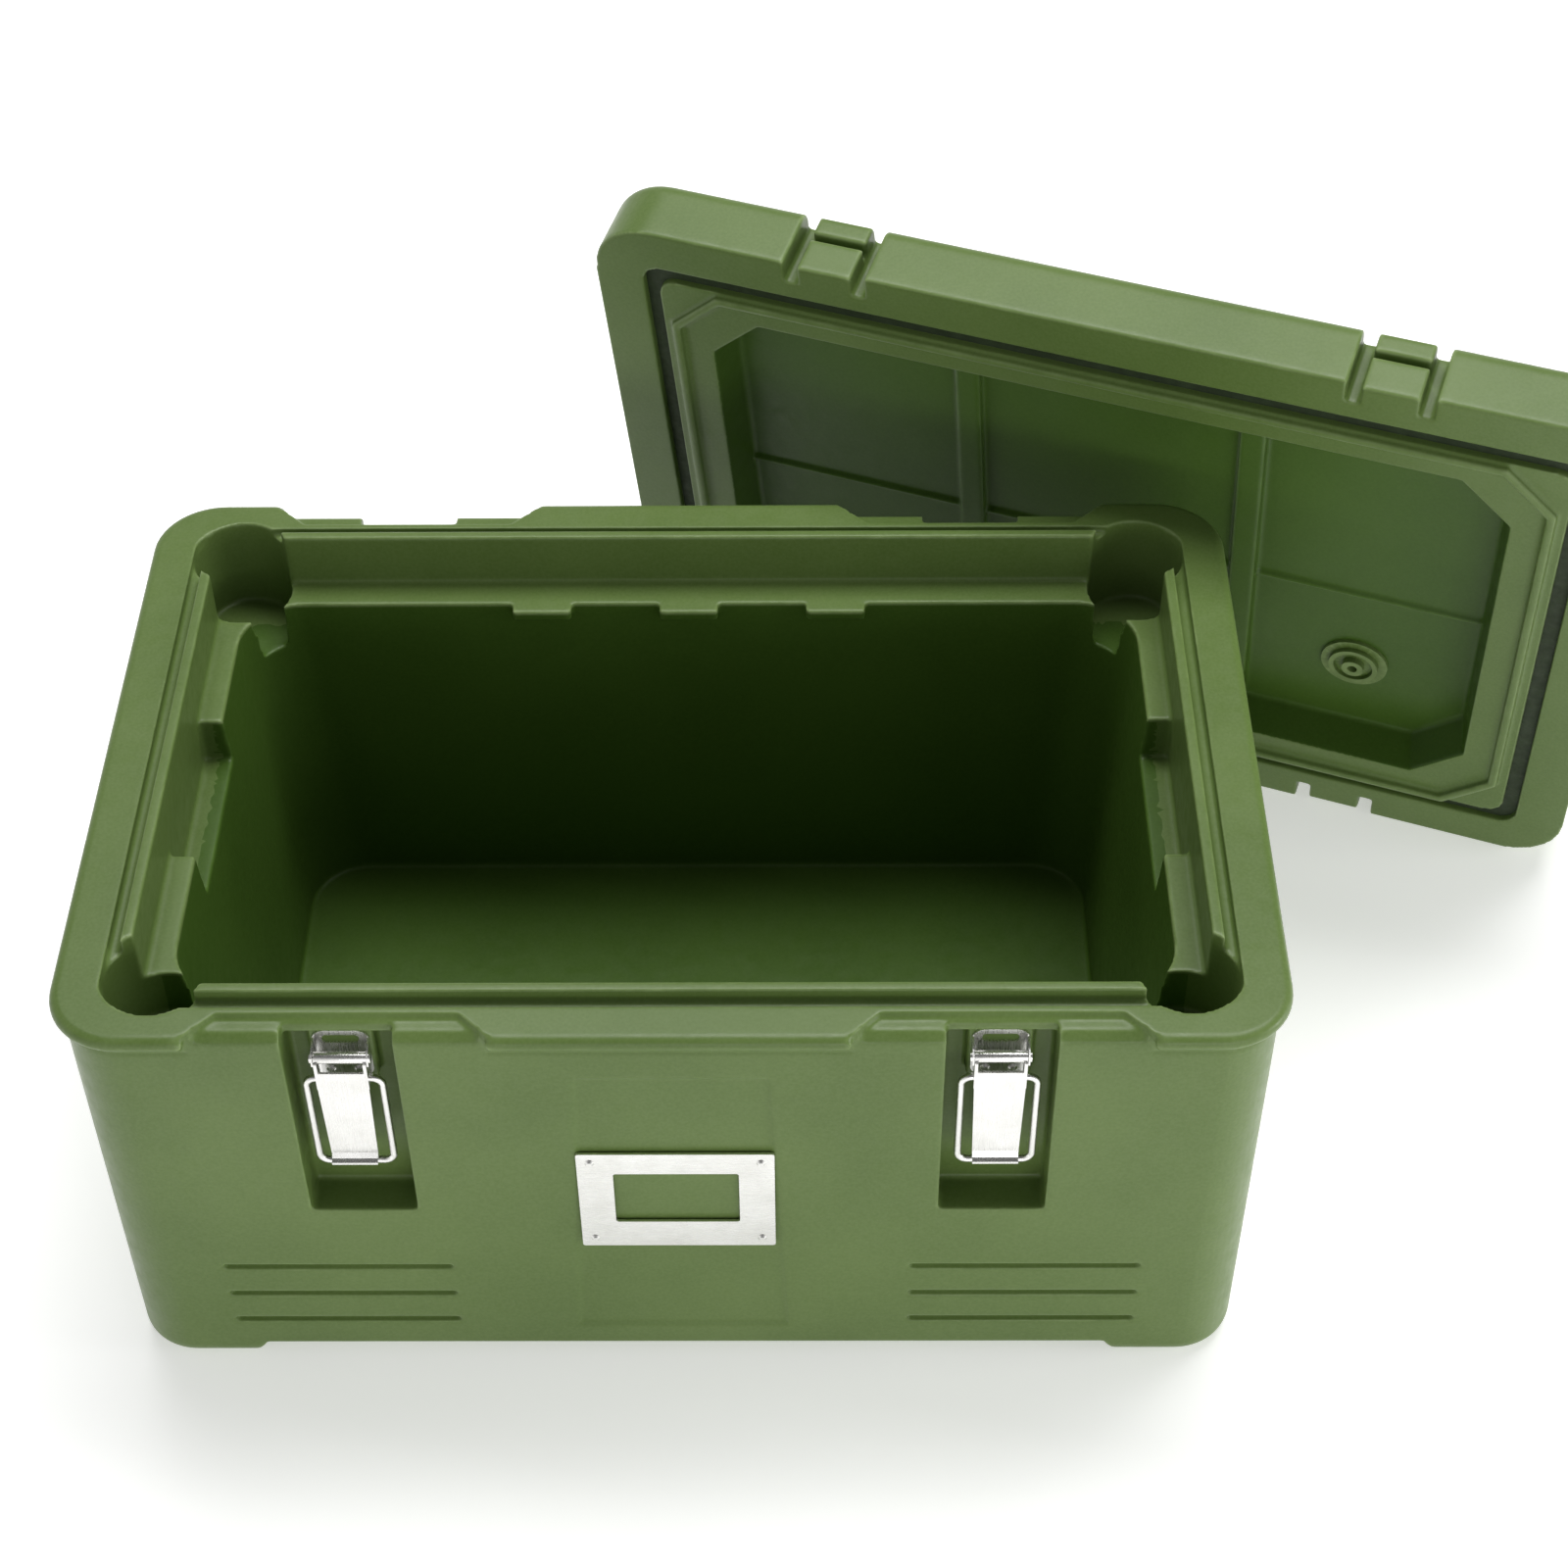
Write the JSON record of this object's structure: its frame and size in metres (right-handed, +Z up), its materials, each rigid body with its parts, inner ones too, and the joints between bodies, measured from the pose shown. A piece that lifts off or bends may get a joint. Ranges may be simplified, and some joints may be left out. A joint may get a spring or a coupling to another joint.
{
  "type": "footlocker",
  "caption": "Rotomoulded footlocker: deep double-walled box with stepped rim, draw latches and card frame, and its lift-off lid standing behind it.",
  "frame": {"origin": "middle of the box's footprint on the floor, under its feet", "axes": "+X along the box to the right end, +Y to the rear, +Z up; the card frame faces -Y"},
  "size_m": [1.125, 0.8123, 0.5283],
  "materials": {
    "green_plastic": "matt moulded army-green polyethylene with a fine grain",
    "foam": "rigid foam",
    "bright_steel": "satin stainless",
    "black_rubber": "matt black rubber",
    "green_knob": "moulded plastic"
  },
  "bodies": {
    "locker": {"tub_shell": "green_plastic", "tub_foam": "foam", "label_frame": "bright_steel", "label_rivets": "bright_steel", "latch_rivets": "bright_steel", "handle_bracket_left": "bright_steel", "handle_bracket_right": "bright_steel", "handle_rivets": "bright_steel", "latch_base_front_left": "bright_steel", "latch_pin_front_left": "bright_steel", "latch_base_front_right": "bright_steel", "latch_pin_front_right": "bright_steel", "latch_base_rear_left": "bright_steel", "latch_pin_rear_left": "bright_steel", "latch_base_rear_right": "bright_steel", "latch_pin_rear_right": "bright_steel"},
    "lever_front_left": {"latch_lever_front_left": "bright_steel"},
    "bail_front_left": {"latch_bail_front_left": "bright_steel"},
    "lever_front_right": {"latch_lever_front_right": "bright_steel"},
    "bail_front_right": {"latch_bail_front_right": "bright_steel"},
    "lever_rear_left": {"latch_lever_rear_left": "bright_steel"},
    "bail_rear_left": {"latch_bail_rear_left": "bright_steel"},
    "lever_rear_right": {"latch_lever_rear_right": "bright_steel"},
    "bail_rear_right": {"latch_bail_rear_right": "bright_steel"},
    "handle_left": {"handle_rod_left": "bright_steel", "handle_grip_left": "black_rubber"},
    "handle_right": {"handle_rod_right": "bright_steel", "handle_grip_right": "black_rubber"},
    "lid": {"lid_shell": "green_plastic", "lid_foam": "foam", "lid_gasket": "black_rubber", "valve_body": "green_knob", "valve_seal": "black_rubber", "valve_nut": "green_knob"},
    "vent_knob": {"valve_knob": "green_knob"}
  },
  "joints": [
    {"name": "lever_front_left", "type": "hinge", "parent": "locker", "child": "lever_front_left", "pos_m": [-0.212, -0.251, 0.3287], "axis": [-1, 0, 0], "range_deg": [0, 165]},
    {"name": "bail_front_left", "type": "hinge", "parent": "lever_front_left", "child": "bail_front_left", "pos_m": [-0.212, -0.2515, 0.309], "axis": [-1, 0, 0], "range_deg": [0, 180]},
    {"name": "lever_front_right", "type": "hinge", "parent": "locker", "child": "lever_front_right", "pos_m": [0.212, -0.251, 0.3287], "axis": [-1, 0, 0], "range_deg": [0, 165]},
    {"name": "bail_front_right", "type": "hinge", "parent": "lever_front_right", "child": "bail_front_right", "pos_m": [0.212, -0.2515, 0.309], "axis": [-1, 0, 0], "range_deg": [0, 180]},
    {"name": "lever_rear_left", "type": "hinge", "parent": "locker", "child": "lever_rear_left", "pos_m": [-0.212, 0.251, 0.3287], "axis": [1, 0, 0], "range_deg": [0, 165]},
    {"name": "bail_rear_left", "type": "hinge", "parent": "lever_rear_left", "child": "bail_rear_left", "pos_m": [-0.212, 0.2515, 0.309], "axis": [1, 0, 0], "range_deg": [0, 180]},
    {"name": "lever_rear_right", "type": "hinge", "parent": "locker", "child": "lever_rear_right", "pos_m": [0.212, 0.251, 0.3287], "axis": [1, 0, 0], "range_deg": [0, 165]},
    {"name": "bail_rear_right", "type": "hinge", "parent": "lever_rear_right", "child": "bail_rear_right", "pos_m": [0.212, 0.2515, 0.309], "axis": [1, 0, 0], "range_deg": [0, 180]},
    {"name": "handle_left", "type": "hinge", "parent": "locker", "child": "handle_left", "pos_m": [-0.382, 0, 0.256], "axis": [0, 1, 0], "range_deg": [0, 95]},
    {"name": "handle_right", "type": "hinge", "parent": "locker", "child": "handle_right", "pos_m": [0.382, 0, 0.256], "axis": [0, -1, 0], "range_deg": [0, 95]},
    {"name": "lid_lift", "type": "slide", "parent": "locker", "child": "lid", "axis": [0, 0, 1], "range_m": [0, 0.42]},
    {"name": "vent_knob_turn", "type": "hinge", "parent": "lid", "child": "vent_knob", "pos_m": [0.53855, 0.30944, 0.16978], "axis": [0.338, 0.9187, 0.2045], "range_deg": [0, 180]}
  ]
}
